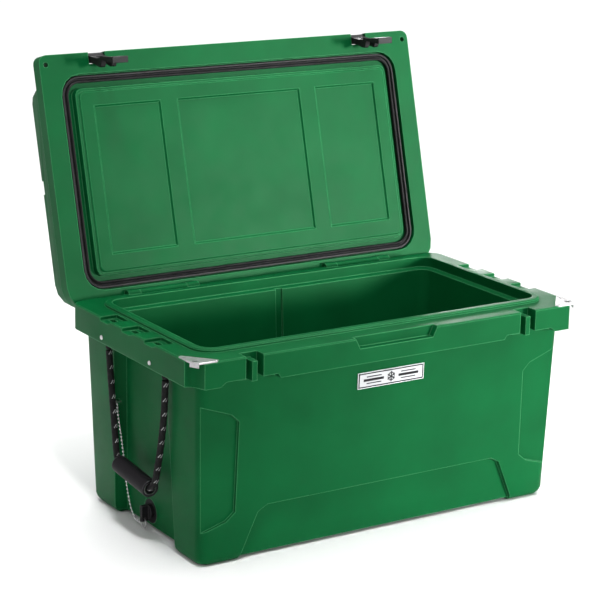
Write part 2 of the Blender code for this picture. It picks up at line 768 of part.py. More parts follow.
def lid_block():
    """The lid's outer shape: a flange over the rim and a crowned top set back from its front."""

    def crown(side_inset, setback, rear_inset):
        return rounded_outline(RIM_HALF_X - side_inset, LID_DOME_FRONT + setback, LID_REAR - rear_inset,
                               LID_CROWN_RADIUS, LID_REAR_RADIUS)

    flange = rounded_outline(RIM_HALF_X, -RIM_HALF_Y, LID_REAR, FRONT_RADIUS, LID_REAR_RADIUS)
    flange_top = rounded_outline(RIM_HALF_X - 0.003, -RIM_HALF_Y + 0.003, LID_REAR - 0.002,
                                 FRONT_RADIUS, LID_REAR_RADIUS)
    return loft("lid_block", [
        (LID_BOTTOM, flange),
        (LID_FLANGE_TOP - 0.003, flange),
        (LID_FLANGE_TOP, flange_top),
        (LID_FLANGE_TOP + 0.0005, crown(0.003, 0.0, 0.002)),
        (LID_TOP - 0.007, crown(0.0035, 0.012, 0.006)),
        (LID_TOP - 0.003, crown(0.006, 0.020, 0.012)),
        (LID_TOP, crown(0.012, LID_CROWN_SETBACK, 0.022)),
    ])


def groove_outline(inset):
    radius = max(LID_GROOVE_RADIUS - inset, 0.010)
    return rounded_outline(LID_GROOVE_HALF_X - inset, LID_GROOVE_FRONT + inset, LID_GROOVE_BACK - inset,
                           radius, radius)


def lid_groove():
    """The channel for the gasket round the lid's underside."""
    top = LID_BOTTOM + LID_GROOVE_DEPTH
    groove = loft("lid_groove", [(LID_BOTTOM - 0.02, groove_outline(0.0)), (top, groove_outline(0.0))])
    cut(groove, loft("lid_island", [
        (LID_BOTTOM - 0.04, groove_outline(LID_GROOVE_WIDTH + 0.002)),
        (top + 0.01, groove_outline(LID_GROOVE_WIDTH - 0.006)),
    ]))
    return groove


def lid_plug():
    """The raised middle of the lid's underside that drops into the mouth."""
    low = LID_BOTTOM - PLUG_PROUD
    return loft("lid_plug", [
        (low, groove_outline(LID_GROOVE_WIDTH + 0.004)),
        (low + 0.002, groove_outline(LID_GROOVE_WIDTH + 0.002)),
        (LID_BOTTOM + 0.004, groove_outline(LID_GROOVE_WIDTH + 0.001)),
    ])


def underside_panels():
    """Three shallow sunk panels with sloping edges in the lid's underside."""
    spans = ((-0.298, -0.163), (-0.131, 0.131), (0.163, 0.298))
    panels = []
    low = LID_BOTTOM - PLUG_PROUD
    for x0, x1 in spans:
        levels = []
        for z, inset in ((low - 0.001, 0.0), (low + PANEL_DEPTH, PANEL_SLOPE)):
            levels.append((z, [(x1 - inset, 0.1415 - inset), (x0 + inset, 0.1415 - inset),
                               (x0 + inset, -0.1235 + inset), (x1 - inset, -0.1235 + inset)]))
        panels.append(loft("underside_panel", levels))
    return panels


def knuckle(side):
    half = KNUCKLE_WIDTH / 2
    x = side * HINGE_X
    return cylinder(mirror_name("knuckle", side), (x - half, HINGE_Y, HINGE_Z), (x + half, HINGE_Y, HINGE_Z),
                    KNUCKLE_RADIUS, 24)


def latch_notch(side):
    half = LATCH_NOTCH_WIDTH / 2
    x = side * LATCH_X
    low = (x - half, -RIM_HALF_Y - 0.01, LID_BOTTOM - 0.01)
    return box(mirror_name("latch_notch", side), low, (x + half, -RIM_HALF_Y + LATCH_NOTCH_DEPTH, 0.41))


def lid_foam_space(name, inset):
    space = loft(name, [
        (LID_BOTTOM + LID_GROOVE_DEPTH + inset, groove_outline(0.010 + inset)),
        (LID_TOP - 0.010 - inset, groove_outline(0.014 + inset)),
        (LID_TOP - 0.001 - inset, groove_outline(0.030 + inset)),
    ])
    cut(space, box(name + "_front", (-0.4, -0.3, 0.35), (0.4, LID_DOME_FRONT + 0.024 + inset, 0.45)))
    join(space, loft(name + "_low", [
        (LID_BOTTOM + PANEL_DEPTH + inset, groove_outline(LID_GROOVE_WIDTH + 0.014 + inset)),
        (LID_BOTTOM + LID_GROOVE_DEPTH - inset + 0.014, groove_outline(LID_GROOVE_WIDTH + 0.014 + inset)),
    ]))
    return space


def strap_groove(side):
    """A cross groove in each end of the dome where a strap lies."""
    x = side * (RIM_HALF_X - 0.02)
    return box(mirror_name("strap_groove", side), (x - 0.03, -0.0015, LID_TOP - 0.0125),
               (x + 0.03, 0.0225, LID_TOP + 0.01))


def make_lid(lid, hinge, green):
    shell = lid_block()
    cut(shell, lid_groove())
    join(shell, lid_plug())
    cut(shell, box("bead_room", (-0.33, MOUTH_BACK - 0.0025, LID_BOTTOM - 0.01),
                   (0.33, MOUTH_BACK + 0.003, BEAD_TOP + 0.0005)))
    for panel in underside_panels():
        cut(shell, panel)
    cut(shell, lid_foam_space("lid_space", SKIN))
    for side in (-1, 1):
        x = side * HINGE_X
        for ear_x in ear_places(side):
            half = EAR_WIDTH / 2 + 0.0008
            cut(shell, cylinder("ear_room", (ear_x - half, HINGE_Y, HINGE_Z),
                                (ear_x + half, HINGE_Y, HINGE_Z), EAR_RADIUS + 0.0012, 24))
        join(shell, knuckle(side))
        cut(shell, cylinder("knuckle_bore", (x - 0.06, HINGE_Y, HINGE_Z), (x + 0.06, HINGE_Y, HINGE_Z),
                            PIN_BORE_RADIUS, 16))
        cut(shell, latch_notch(side))
        reach = LATCH_NOTCH_WIDTH / 2 + 0.007
        cut(shell, cylinder("latch_pin_bore", (side * LATCH_X - reach, LATCH_PIVOT_Y, LATCH_PIVOT_Z),
                            (side * LATCH_X + reach, LATCH_PIVOT_Y, LATCH_PIVOT_Z), LATCH_PIN_BORE, 12))
        cut(shell, cylinder("lid_lock_hole", (side * LOCK_X, LOCK_Y, 0.35), (side * LOCK_X, LOCK_Y, 0.41),
                            LOCK_HOLE_RADIUS, 16))
        cut(shell, strap_groove(side))
    cut(shell, cylinder("lid_fill_hole", (0.0, LID_PLUG_Y, 0.40), (0.0, LID_PLUG_Y, 0.43), 0.012, 24))
    return part(shell, "lid_shell", green, lid, hinge)


def make_gasket(lid, hinge, rubber):
    """A moulded ring that seals the lid's channel on the base's bead."""
    low = BEAD_TOP + GAP
    high = LID_BOTTOM + LID_GROOVE_DEPTH - GAP
    outer = groove_outline(0.002)
    gasket = loft("gasket", [(low + 0.002, outer), (high, outer)])
    join(gasket, loft("gasket_bulb", [(low, groove_outline(0.005)), (low + 0.0025, groove_outline(0.0035))]))
    cut(gasket, loft("gasket_inner", [
        (low - 0.01, groove_outline(0.002 + GASKET_WIDTH)),
        (high + 0.01, groove_outline(0.002 + GASKET_WIDTH)),
    ]))
    return part(gasket, "lid_gasket", rubber, lid, hinge)


def make_hinge_pins(root, steel):
    for side in (-1, 1):
        outer = ear_places(side)
        half = EAR_WIDTH / 2
        low = (outer[0] - half + 0.001, HINGE_Y, HINGE_Z)
        high = (outer[1] + half - 0.001, HINGE_Y, HINGE_Z)
        pin = cylinder("hinge_pin", low, high, PIN_RADIUS, 16)
        part(pin, mirror_name("hinge_pin", side), steel, root, smooth=True)


# ---- latches, drawn as if hooked on the closed lid --------------------------------------------------

def latch_profile():
    """Side outline of the rubber latch, (y, z) from its pivot, hanging straight down."""
    return [
        (-0.0065, 0.0000),
        (-0.0052, -0.0200),
        (-0.0054, -0.0350),
        (-0.0085, -0.0520),
        (-0.0125, -0.0713),
        (-0.0165, -0.0996),
        (-0.0052, -0.1000),
        (-0.0052, -0.0580),
        (0.0060, -0.0560),
        (0.0085, -0.0520),
        (0.0075, -0.0420),
        (0.0055, -0.0300),
        (0.0065, 0.0000),
    ]


def make_latches(lid, hinge, rubber, steel):
    for side in (-1, 1):
        x = side * LATCH_X
        pivot = Vector((x, LATCH_PIVOT_Y, LATCH_PIVOT_Z))
        carrier = empty(mirror_name("latch_pivot", side), pivot - Vector(hinge), lid, LATCH_SAG)
        half = LATCH_WIDTH / 2
        place = Matrix.Translation(pivot)
        latch = plate("latch", latch_profile(), LATCH_WIDTH, place @ YZ)
        barrel_ends = ((x - half, pivot.y, pivot.z), (x + half, pivot.y, pivot.z))
        join(latch, cylinder("latch_barrel", *barrel_ends, LATCH_BARREL_RADIUS, 24))
        window = KEEPER_WIDTH / 2 + 0.0012
        cut(latch, box("latch_window", (x - window, pivot.y - 0.03, pivot.z - 0.0585),
                       (x + window, pivot.y + 0.03, pivot.z - 0.0175)))
        cut(latch, cylinder("latch_bore", (x - 0.03, pivot.y, pivot.z), (x + 0.03, pivot.y, pivot.z),
                            LATCH_PIN_BORE, 12))
        part(latch, mirror_name("latch", side), rubber, carrier, pivot)
        reach = LATCH_NOTCH_WIDTH / 2 + 0.006
        pin = cylinder("latch_pin", (x - reach, pivot.y, pivot.z), (x + reach, pivot.y, pivot.z),
                       LATCH_PIN_RADIUS, 16)
        part(pin, mirror_name("latch_pin", side), steel, carrier, pivot, smooth=True)


# ---- corner plates, badge, drain, chain ------------------------------------------------------------

def make_corner_plates(root, steel):
    for side in (-1, 1):
        outline = corner_plate_outline(side)
        name = mirror_name("corner_plate", side)
        metal = flat_plate(name, outline, PLATE_TOP - PLATE_THICK, PLATE_TOP)
        start = Vector((*outline[1], 0.0))
        end = Vector((*outline[2], 0.0))
        along = (end - start).normalized()
        outward = Vector((side * abs(along.y), -abs(along.x), 0.0))
        lip = [start + along * 0.0012 + outward * 0.0003, end - along * 0.0012 + outward * 0.0003,
               end - along * 0.0012 - outward * 0.0015, start + along * 0.0012 - outward * 0.0015]
        join(metal, flat_plate(name + "_lip", [(p.x, p.y) for p in lip], PLATE_TOP - PLATE_LIP,
                               PLATE_TOP - 0.0004))
        cut(metal, cylinder(name + "_hole", (side * LOCK_X, LOCK_Y, 0.35), (side * LOCK_X, LOCK_Y, 0.37),
                            LOCK_HOLE_RADIUS + 0.0005, 16))
        for x, y in screw_places(side):
            cut(metal, cylinder(name + "_screw_hole", (x, y, 0.35), (x, y, 0.37),
                                LOCK_SCREW_RADIUS + GAP, 8))
        part(metal, name, steel, root)
        for index, (x, y) in enumerate(screw_places(side)):
            screw = cylinder("screw", (x, y, 0.3455), (x, y, PLATE_TOP + 0.0006), LOCK_SCREW_RADIUS, 8)
            join(screw, cylinder("screw_head", (x, y, PLATE_TOP + GAP), (x, y, PLATE_TOP + 0.0011),
                                 0.0028, 12))
            part(screw, name + "_screw_" + str(index + 1), steel, root)


def make_badge(root, white):
    """A plain name plate that leans with the front wall; its face is left blank."""
    low = BADGE_CENTRE_Z - BADGE_HALF_Z
    high = BADGE_CENTRE_Z + BADGE_HALF_Z
    face = -BASE_FRONT - GAP
    badge = box("badge", (BADGE_CENTRE_X - BADGE_X, face - BADGE_THICK, low),
                (BADGE_CENTRE_X + BADGE_X, face, high))
    badge.data.transform(front_slope())
    part(badge, "badge_plate", white, root)


def make_drain(root, black, rubber, steel):
    """A threaded bushing through the end wall, closed by a screw-in plug on a gasket."""
    centre = Vector((0.0, DRAIN_Y, DRAIN_Z))
    seat = -DRAIN_SEAT_X - GAP
    flange_face = seat - DRAIN_FLANGE_THICK
    out = Vector((-1.0, 0.0, 0.0))

    def at(x):
        return centre + Vector((x, 0.0, 0.0))

    bushing = cylinder("bushing", at(-0.3035), at(seat - 0.001), DRAIN_TUBE_RADIUS, 32)
    join(bushing, cylinder("bushing_flange", at(seat), at(flange_face), DRAIN_FLANGE_RADIUS, 32))
    cut(bushing, cylinder("bushing_bore", at(-0.29), at(-0.36), DRAIN_BORE_RADIUS, 32))
    part(bushing, "drain_bushing", black, root)

    gasket_low = flange_face - GAP
    gasket_high = gasket_low - 0.0012
    middle = at((gasket_low + gasket_high) / 2)
    seal = ring("plug_gasket", middle, out, DRAIN_BORE_RADIUS + 0.0004, DRAIN_PLUG_RADIUS - 0.0006,
                0.0012, 24)
    part(seal, "drain_plug_gasket", rubber, root)

    head = gasket_high - GAP
    pivot = at(head)
    turner = empty("drain_plug_pivot", pivot, root)
    plug = cylinder("plug", at(-0.3185), at(head - 0.001), DRAIN_THREAD_RADIUS, 24)
    join(plug, cylinder("plug_head", at(head), at(head - 0.0045), DRAIN_PLUG_RADIUS, 24))
    wing = box("plug_wing", (head - 0.0170, DRAIN_Y - 0.0035, DRAIN_Z - 0.0155),
               (head - 0.0040, DRAIN_Y + 0.0035, DRAIN_Z + 0.0125))
    join(plug, wing)
    hole = (head - 0.0115, DRAIN_Z - 0.0110)
    cut(plug, cylinder("plug_eye", (hole[0], DRAIN_Y - 0.01, hole[1]), (hole[0], DRAIN_Y + 0.01, hole[1]),
                       0.0024, 12))
    part(plug, "drain_plug", black, turner, pivot)

    bm = bmesh.new()
    segments = 24
    sides = 8
    centre_z = hole[1] - DRAIN_RING_RADIUS + 0.0004
    rows = []
    for i in range(segments):
        angle = 2 * pi * i / segments
        radial = Vector((0.0, cos(angle), sin(angle)))
        row = []
        for j in range(sides):
            turn = 2 * pi * j / sides
            offset = radial * cos(turn) + Vector((1.0, 0.0, 0.0)) * sin(turn)
            wire_centre = Vector((hole[0], DRAIN_Y, centre_z)) + radial * DRAIN_RING_RADIUS
            row.append(bm.verts.new(wire_centre + offset * DRAIN_RING_WIRE))
        rows.append(row)
    for i in range(segments):
        for j in range(sides):
            after = rows[(i + 1) % segments]
            bm.faces.new((rows[i][j], rows[i][(j + 1) % sides], after[(j + 1) % sides], after[j]))
    part(solid("split_ring", bm), "drain_ring", steel, turner, pivot, smooth=True)


def spline_points(stops, count):
    """Points along a smooth curve (Catmull-Rom) through a few stops."""
    stops = [Vector(stop) for stop in stops]
    stops = [2 * stops[0] - stops[1]] + stops + [2 * stops[-1] - stops[-2]]
    points = []
    spans = len(stops) - 3
    for i in range(count):
        place = i * spans / (count - 1)
        span = min(int(place), spans - 1)
        t = place - span
        a, b, c, d = stops[span:span + 4]
        points.append(0.5 * ((2 * b) + (c - a) * t + (2 * a - 5 * b + 4 * c - d) * t ** 2
                             + (3 * b - a - 3 * c + d) * t ** 3))
    return points


def make_chain(root, steel):
    """A ball chain that keeps the drain plug; it hangs from a screw in the end wall."""
    wall = -CHAIN_WALL_X
    screw = cylinder("chain_screw", (wall + 0.0040, CHAIN_SCREW_Y, CHAIN_SCREW_Z),
                     (wall - 0.0060, CHAIN_SCREW_Y, CHAIN_SCREW_Z), CHAIN_SCREW_RADIUS, 12)
    join(screw, cylinder("chain_screw_head", (wall - 0.0055, CHAIN_SCREW_Y, CHAIN_SCREW_Z),
                         (wall - 0.0078, CHAIN_SCREW_Y, CHAIN_SCREW_Z), 0.0040, 16))
    part(screw, "chain_screw", steel, root)
    chain = tube("chain", spline_points(CHAIN_STOPS, 56), CHAIN_RADIUS)
    part(chain, "drain_chain", steel, root, smooth=True)


# ---- rope handles ------------------------------------------------------------------------------------

def grip_axis(side):
    centre = Vector((side * ROPE_X, GRIP_Y, GRIP_Z))
    along = Vector((0.0, cos(GRIP_TILT), sin(GRIP_TILT)))
    return centre, along


def rope_bend(end, outward, radius):
    """Stops where the rope leaves the grip and turns up, from inside the sleeve outwards."""
    start = outward * radius * sin(acos(1 - ROPE_LIFT / radius))
    stops = []
    for degrees in (0, 32, 52, 74):
        angle = radians(degrees)
        y = end.y - start + outward * radius * sin(angle)
        stops.append((end.x, y, end.z + radius * (1 - cos(angle))))
    return stops


def rope_stops(side):
    centre, along = grip_axis(side)
    x = side * ROPE_X
    top = ROPE_PIVOT_Z - ROPE_RADIUS - GAP
    rear = rope_bend(centre + along * GRIP_LENGTH / 2, 1, ROPE_BEND_REAR)
    front = rope_bend(centre - along * GRIP_LENGTH / 2, -1, ROPE_BEND_FRONT)
    return [
        (x, ROPE_SPREAD, top),
        (x, ROPE_SPREAD - 0.0020, 0.285),
        (x, ROPE_SPREAD - 0.0115, 0.220),
        (x, 0.0785, 0.160),
    ] + rear[::-1] + front + [
        (x, -0.0820, 0.176),
        (x, -ROPE_SPREAD + 0.0055, 0.235),
        (x, -ROPE_SPREAD + 0.0010, 0.285),
        (x, -ROPE_SPREAD, top),
    ]


def make_handle(side, root, steel, black, rope):
    """A rope loop through a tubular grip; its two ends hang from pins inside the rim."""
    x = side * ROPE_X
    pivot = (x, 0.0, ROPE_PIVOT_Z)
    swing = empty(mirror_name("handle_pivot", side), pivot, root)
    centre, along = grip_axis(side)
    loop = tube("rope", spline_points(rope_stops(side), 72), ROPE_RADIUS)
    part(loop, mirror_name("handle_rope", side), rope, swing, pivot, smooth=True)
    grip = ring("grip", centre, along, GRIP_BORE, GRIP_RADIUS, GRIP_LENGTH, 24)
    part(grip, mirror_name("handle_grip", side), black, swing, pivot)
    sleeve = ring("sleeve", centre, along, GRIP_SLEEVE_BORE, GRIP_SLEEVE_RADIUS, GRIP_LENGTH - 0.001, 24)
    part(sleeve, mirror_name("handle_sleeve", side), steel, swing, pivot)
    ends = ((ROPE_SPREAD, ROPE_PIN_REAR, "rear"), (-ROPE_SPREAD, ROPE_PIN_FRONT, "front"))
    for exit_y, pin_y, place in ends:
        low = (x, exit_y, ROPE_PIVOT_Z)
        bend = (x, exit_y, ROPE_PIVOT_Z + 0.012)
        top = (x, pin_y, ROPE_PIN_Z + 0.0085) if pin_y == exit_y else (x, pin_y + 0.007, ROPE_PIN_Z)
        points = [low, bend, top] if pin_y == exit_y else [low, bend, (x, pin_y - 0.012, ROPE_PIN_Z), top]
        end = tube("rope_end", points, ROPE_RADIUS)
        join(end, ball("rope_end_ball", low, ROPE_RADIUS - 0.0001))
        cut(end, cylinder("rope_eye", (x - 0.02, pin_y, ROPE_PIN_Z), (x + 0.02, pin_y, ROPE_PIN_Z),
                          ROPE_PIN_BORE, 12))
        part(end, mirror_name("handle_rope_end_" + place, side), rope, root)
        face = side * (RIM_HALF_X + GAP)
        pin = cylinder("rope_pin", (side * 0.353, pin_y, ROPE_PIN_Z),
                       (face + side * 0.0006, pin_y, ROPE_PIN_Z), ROPE_PIN_RADIUS, 12)
        join(pin, cylinder("rope_pin_head", (face, pin_y, ROPE_PIN_Z),
                           (face + side * 0.0014, pin_y, ROPE_PIN_Z), 0.0042, 16, 0.0034))
        part(pin, mirror_name("handle_pin_" + place, side), steel, root)


def build_all():
    green = make_material("green_plastic", GREEN, 0.45)
    black = make_material("black_nylon", NYLON, 0.40)
    rubber = make_material("black_rubber", BLACK, 0.50)
    rope = make_material("black_rope", BLACK, 0.85)
    foam = make_material("foam", FOAM, 0.90)
    steel = make_material("steel", STEEL, 0.30, 1.0)
    white = make_material("badge_white", WHITE, 0.35)
    root = empty("chest", (0.0, -REST_CENTRE_Y, 0.0))
    hinge = (0.0, HINGE_Y, HINGE_Z)
    lid = empty("lid_pivot", hinge, root, -LID_OPEN)

    make_body(root, green)
    make_foam(root, foam)
    part(fill_plug("body_plug", 0.0, 0.0, FOOT_HEIGHT, 1), "body_fill_plug", black, root)
    make_lid(lid, hinge, green)
    part(lid_foam_space("lid_core", SKIN + GAP), "lid_foam_core", foam, lid, hinge)
    part(fill_plug("lid_cap", 0.0, LID_PLUG_Y, LID_TOP, -1), "lid_fill_plug", black, lid, hinge)
    make_gasket(lid, hinge, rubber)
    make_hinge_pins(root, steel)
    make_latches(lid, hinge, rubber, steel)
    make_corner_plates(root, steel)
    make_badge(root, white)
    make_drain(root, black, rubber, steel)
    make_chain(root, steel)
    for side in (-1, 1):
        make_handle(side, root, steel, black, rope)


clear_scene()
parts = make_collection("cooler_chest")
cutters = make_collection("cutters")
build_all()
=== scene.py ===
"""The looks of an insulated cooler chest: camera, studio, materials and the finer pieces."""

import json
from math import cos, pi, radians, sin

import bmesh
import bpy
from mathutils import Matrix, Vector


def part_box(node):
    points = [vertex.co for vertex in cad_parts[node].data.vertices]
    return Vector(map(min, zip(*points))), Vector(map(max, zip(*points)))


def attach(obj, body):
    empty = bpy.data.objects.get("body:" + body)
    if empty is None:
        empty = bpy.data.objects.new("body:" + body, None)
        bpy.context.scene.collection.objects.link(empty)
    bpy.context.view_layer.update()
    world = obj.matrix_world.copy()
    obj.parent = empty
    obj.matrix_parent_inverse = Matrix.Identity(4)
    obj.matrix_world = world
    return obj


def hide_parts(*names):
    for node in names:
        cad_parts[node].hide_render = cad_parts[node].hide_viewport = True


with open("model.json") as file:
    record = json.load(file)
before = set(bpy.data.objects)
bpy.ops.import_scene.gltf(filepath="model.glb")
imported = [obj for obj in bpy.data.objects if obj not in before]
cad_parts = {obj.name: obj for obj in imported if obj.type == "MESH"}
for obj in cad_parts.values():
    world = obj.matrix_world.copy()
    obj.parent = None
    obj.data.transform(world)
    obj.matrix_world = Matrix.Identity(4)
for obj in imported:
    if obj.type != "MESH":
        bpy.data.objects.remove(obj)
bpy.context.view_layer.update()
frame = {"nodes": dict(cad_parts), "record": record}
nodes = frame["nodes"]

# ---- camera ----------------------------------------------------------------------------------------

CAMERA_AZIMUTH = radians(-32.7512)
CAMERA_ELEVATION = radians(15.1121)
CAMERA_ROLL = radians(1.1543)
CAMERA_DISTANCE = 3.60755
CAMERA_LENS = 125.33
CAMERA_SENSOR = 36.0
CAMERA_TARGET = Vector((-0.0640, -0.09364, 0.3773))


def place_camera():
    """Puts the camera at its distance from the target, level but for its small roll."""
    back = Vector((sin(CAMERA_AZIMUTH) * cos(CAMERA_ELEVATION),
                   -cos(CAMERA_AZIMUTH) * cos(CAMERA_ELEVATION),
                   sin(CAMERA_ELEVATION)))
    level_right = Vector((0, 0, 1)).cross(back).normalized()
    level_up = back.cross(level_right)
    right = cos(CAMERA_ROLL) * level_right + sin(CAMERA_ROLL) * level_up
    up = back.cross(right)
    turn = Matrix((right, up, back)).transposed().to_4x4()
    data = bpy.data.cameras.new("camera")
    data.lens = CAMERA_LENS
    data.sensor_width = CAMERA_SENSOR
    camera = bpy.data.objects.new("camera", data)
    camera.matrix_world = Matrix.Translation(CAMERA_TARGET + back * CAMERA_DISTANCE) @ turn
    bpy.context.scene.collection.objects.link(camera)
    bpy.context.scene.camera = camera


# ---- studio ----------------------------------------------------------------------------------------

SKY_STRENGTH = 0.56
FLOOR_HALF = 60.0
FLOOR_GREY = 0.9


def link_light(name, data, place, aim):
    light = bpy.data.objects.new(name, data)
    light.location = place
    light.rotation_euler = (Vector(aim) - Vector(place)).to_track_quat("-Z", "Y").to_euler()
    bpy.context.scene.collection.objects.link(light)


def area_light(name, place, aim, size, radiance, spread):
    """A softbox of a given brightness; a small spread keeps its light on what it is aimed at."""
    data = bpy.data.lights.new(name, "AREA")
    data.shape = "RECTANGLE"
    data.size = size[0]
    data.size_y = size[1]
    data.energy = radiance * pi * size[0] * size[1]
    data.spread = radians(spread)
    link_light(name, data, place, aim)


def sun_light(name, place, strength, angle):
    """A sun that shines from a place towards the origin; a wide angle makes it soft."""
    data = bpy.data.lights.new(name, "SUN")
    data.energy = strength
    data.angle = radians(angle)
    link_light(name, data, place, (0.0, 0.0, 0.0))


def make_studio():
    """A white surround, a broad ceiling light, and softboxes in front, overhead and behind."""
    world = bpy.data.worlds.new("studio")
    world.use_nodes = True
    world.node_tree.nodes["Background"].inputs["Color"].default_value = (1.0, 1.0, 1.0, 1.0)
    world.node_tree.nodes["Background"].inputs["Strength"].default_value = SKY_STRENGTH
    bpy.context.scene.world = world
    bpy.context.scene.view_settings.view_transform = "Standard"
    sun_light("ceiling", (0.75, 0.45, 1.6), 2.4, 60.0)
    area_light("key", (2.9, -4.4, 0.9), (0.80, -0.2, 0.45), (1.6, 1.6), 1.9, 14.0)
    area_light("overhead", (-0.7, -1.6, 6.2), (-0.10, 0.0, 0.30), (1.6, 1.6), 0.6, 14.0)
    area_light("back", (3.2, 4.4, 1.5), (0.6, 0.0, 0.40), (1.5, 1.0), 0.4, 16.0)


def make_floor():
    """A plain pale floor that reaches past the view's horizon."""
    bm = bmesh.new()
    bmesh.ops.create_grid(bm, x_segments=1, y_segments=1, size=FLOOR_HALF)
    mesh = bpy.data.meshes.new("floor")
    bm.to_mesh(mesh)
    bm.free()
    floor = bpy.data.objects.new("floor", mesh)
    bpy.context.scene.collection.objects.link(floor)
    material = bpy.data.materials.new("floor")
    material.use_nodes = True
    shader = material.node_tree.nodes["Principled BSDF"]
    shader.inputs["Base Color"].default_value = (FLOOR_GREY, FLOOR_GREY, FLOOR_GREY, 1.0)
    shader.inputs["Roughness"].default_value = 0.9
    mesh.materials.append(material)


# ---- materials -------------------------------------------------------------------------------------

PLASTIC_SPECULAR = 0.05
PLASTIC_EDGE = 0.0028
RUBBER_SPECULAR = 0.15
RUBBER_EDGE = 0.0012
# Painted edge highlight on the plastics: between these two turns of the shading the colour grows paler,
# raised by a gain and a lift.
EDGE_FLAT = 0.997
EDGE_TURNED = 0.86
EDGE_HIGHLIGHT_GAIN = 2.4
EDGE_HIGHLIGHT_LIFT = 0.045
GREEN = (0.0012, 0.080, 0.0212)
BLACK = (0.010, 0.0098, 0.0105)


class Shader:
    """A Principled material whose noise is laid out in the object's own metres."""

    def __init__(self, name, colour, roughness, metallic=0.0, specular=0.5):
        self.material = bpy.data.materials.new(name)
        self.material.use_nodes = True
        self.tree = self.material.node_tree
        self.shader = self.tree.nodes["Principled BSDF"]
        self.shader.inputs["Base Color"].default_value = (*colour, 1.0)
        self.shader.inputs["Roughness"].default_value = roughness
        self.shader.inputs["Metallic"].default_value = metallic
        self.shader.inputs["Specular IOR Level"].default_value = specular
        self.place = self.tree.nodes.new("ShaderNodeTexCoord").outputs["Object"]
        self.normal = None

    def noise(self, size, detail=2.0, stretch=(1.0, 1.0, 1.0)):
        """Fractal noise from 0 to 1 with features of a size in metres."""
        mapping = self.tree.nodes.new("ShaderNodeMapping")
        mapping.inputs["Scale"].default_value = [s / size for s in stretch]
        self.tree.links.new(self.place, mapping.inputs["Vector"])
        node = self.tree.nodes.new("ShaderNodeTexNoise")
        node.inputs["Scale"].default_value = 1.0
        node.inputs["Detail"].default_value = detail
        self.tree.links.new(mapping.outputs["Vector"], node.inputs["Vector"])
        return node.outputs["Fac"]

    def ramp(self, value, stops):
        """A colour read from a value, blended between stops of position and colour."""
        node = self.tree.nodes.new("ShaderNodeValToRGB")
        self.tree.links.new(value, node.inputs["Fac"])
        elements = node.color_ramp.elements
        while len(elements) < len(stops):
            elements.new(0.5)
        for element, (position, colour) in zip(elements, stops):
            element.position = position
            element.color = (*colour, 1.0)
        return node.outputs["Color"]

    def span(self, value, low, high):
        """A value from 0 to 1 stretched to run from low to high."""
        node = self.tree.nodes.new("ShaderNodeMapRange")
        node.inputs["To Min"].default_value = low
        node.inputs["To Max"].default_value = high
        self.tree.links.new(value, node.inputs["Value"])
        return node.outputs["Result"]

    def colour(self, value):
        self.tree.links.new(value, self.shader.inputs["Base Color"])

    def rough(self, value):
        self.tree.links.new(value, self.shader.inputs["Roughness"])

    def soft_edges(self, radius):
        """Shades every hard edge as if it were rounded to a radius."""
        node = self.tree.nodes.new("ShaderNodeBevel")
        node.samples = 6
        node.inputs["Radius"].default_value = radius
        self.normal = node.outputs["Normal"]
        self.tree.links.new(self.normal, self.shader.inputs["Normal"])

    def painted_edge_highlight(self, base, pale):
        """The base colour with a painted highlight: paler where the rounded shading turns away from the
        flat face, on hollow and raised edges alike.
        """
        node = self.tree.nodes.new("ShaderNodeVectorMath")
        node.operation = "DOT_PRODUCT"
        face = self.tree.nodes.new("ShaderNodeNewGeometry")
        self.tree.links.new(face.outputs["Normal"], node.inputs[0])
        self.tree.links.new(self.normal, node.inputs[1])
        turn = self.tree.nodes.new("ShaderNodeMapRange")
        turn.inputs["From Min"].default_value = EDGE_FLAT
        turn.inputs["From Max"].default_value = EDGE_TURNED
        self.tree.links.new(node.outputs["Value"], turn.inputs["Value"])
        mix = self.tree.nodes.new("ShaderNodeMix")
        mix.data_type = "RGBA"
        # A colour mix takes its two colours in sockets 6 and 7 and gives them in output 2.
        self.tree.links.new(turn.outputs["Result"], mix.inputs["Factor"])
        self.tree.links.new(base, mix.inputs[6])
        # The pale colour is a painted highlight, standing in for light caught on the rounded edges.
        mix.inputs[7].default_value = (*pale, 1.0)
        return mix.outputs[2]

    def bump(self, value, depth, strength=1.0):
        """Adds a bump of a depth in metres, on top of any earlier one."""
        node = self.tree.nodes.new("ShaderNodeBump")
        node.inputs["Distance"].default_value = depth
        node.inputs["Strength"].default_value = strength
        self.tree.links.new(value, node.inputs["Height"])
        if self.normal is not None:
            self.tree.links.new(self.normal, node.inputs["Normal"])
        self.normal = node.outputs["Normal"]
        self.tree.links.new(self.normal, self.shader.inputs["Normal"])


def tint(colour, factor):
    """A colour made brighter or darker by a factor."""
    return tuple(channel * factor for channel in colour)


def moulded_plastic(name, colour, roughness, grain=0.0011):
    """Rotomoulded plastic: fine orange-peel grain, faint cloudiness, small dull scuffs and a painted
    highlight along every edge.
    """
    made = Shader(name, colour, roughness, specular=PLASTIC_SPECULAR)
    made.soft_edges(PLASTIC_EDGE)
    cloudy = made.ramp(made.noise(0.09, 4.0), [(0.30, tint(colour, 0.90)), (0.70, tint(colour, 1.12))])
    # Painted highlight: every edge of the plastic gets a paler colour, as if lit, laid on hollow and
    # raised edges alike.
    made.colour(made.painted_edge_highlight(cloudy, [channel * EDGE_HIGHLIGHT_GAIN + EDGE_HIGHLIGHT_LIFT for channel in colour]))
    made.rough(made.span(made.noise(0.035, 6.0), roughness - 0.07, roughness + 0.09))
    made.bump(made.noise(grain, 2.0), 0.00012, 0.55)
    made.bump(made.noise(0.045, 2.0), 0.0010, 0.10)
    return made.material


